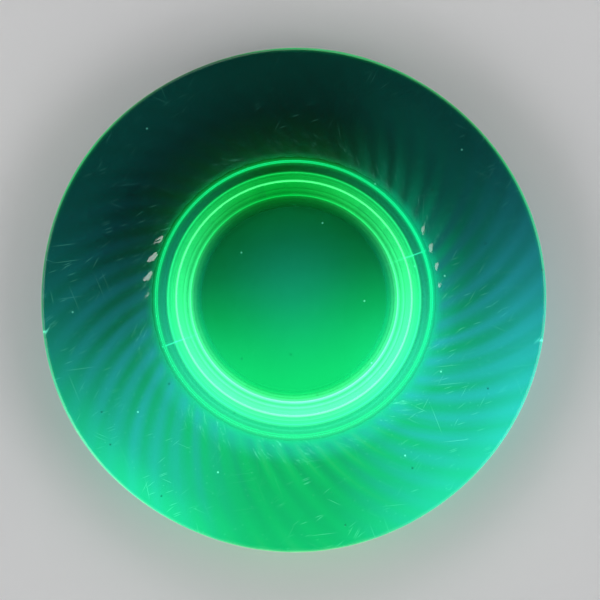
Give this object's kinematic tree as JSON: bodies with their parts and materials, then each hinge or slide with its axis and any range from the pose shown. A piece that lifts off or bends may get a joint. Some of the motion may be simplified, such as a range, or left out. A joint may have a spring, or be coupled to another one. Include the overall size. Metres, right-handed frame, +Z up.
{
  "type": "glass dish",
  "caption": "Round shallow glass dish with a flat well, a wide rim with swirled ribs on its underside, and a foot ring.",
  "frame": {"origin": "on the table plane, under the centre of the dish", "axes": "+Z up along the axis of the dish, out of its eating side; +X through the inner end of a rib"},
  "size_m": [0.2032, 0.2032, 0.02],
  "materials": {
    "swirl_glass": "fire-polished, fluorescing green",
    "foot_glass": "pressed, ground flat on the crest, fluorescing green"
  },
  "bodies": {
    "root": {"dish_body": "swirl_glass", "foot_ring": "foot_glass"}
  },
  "joints": []
}
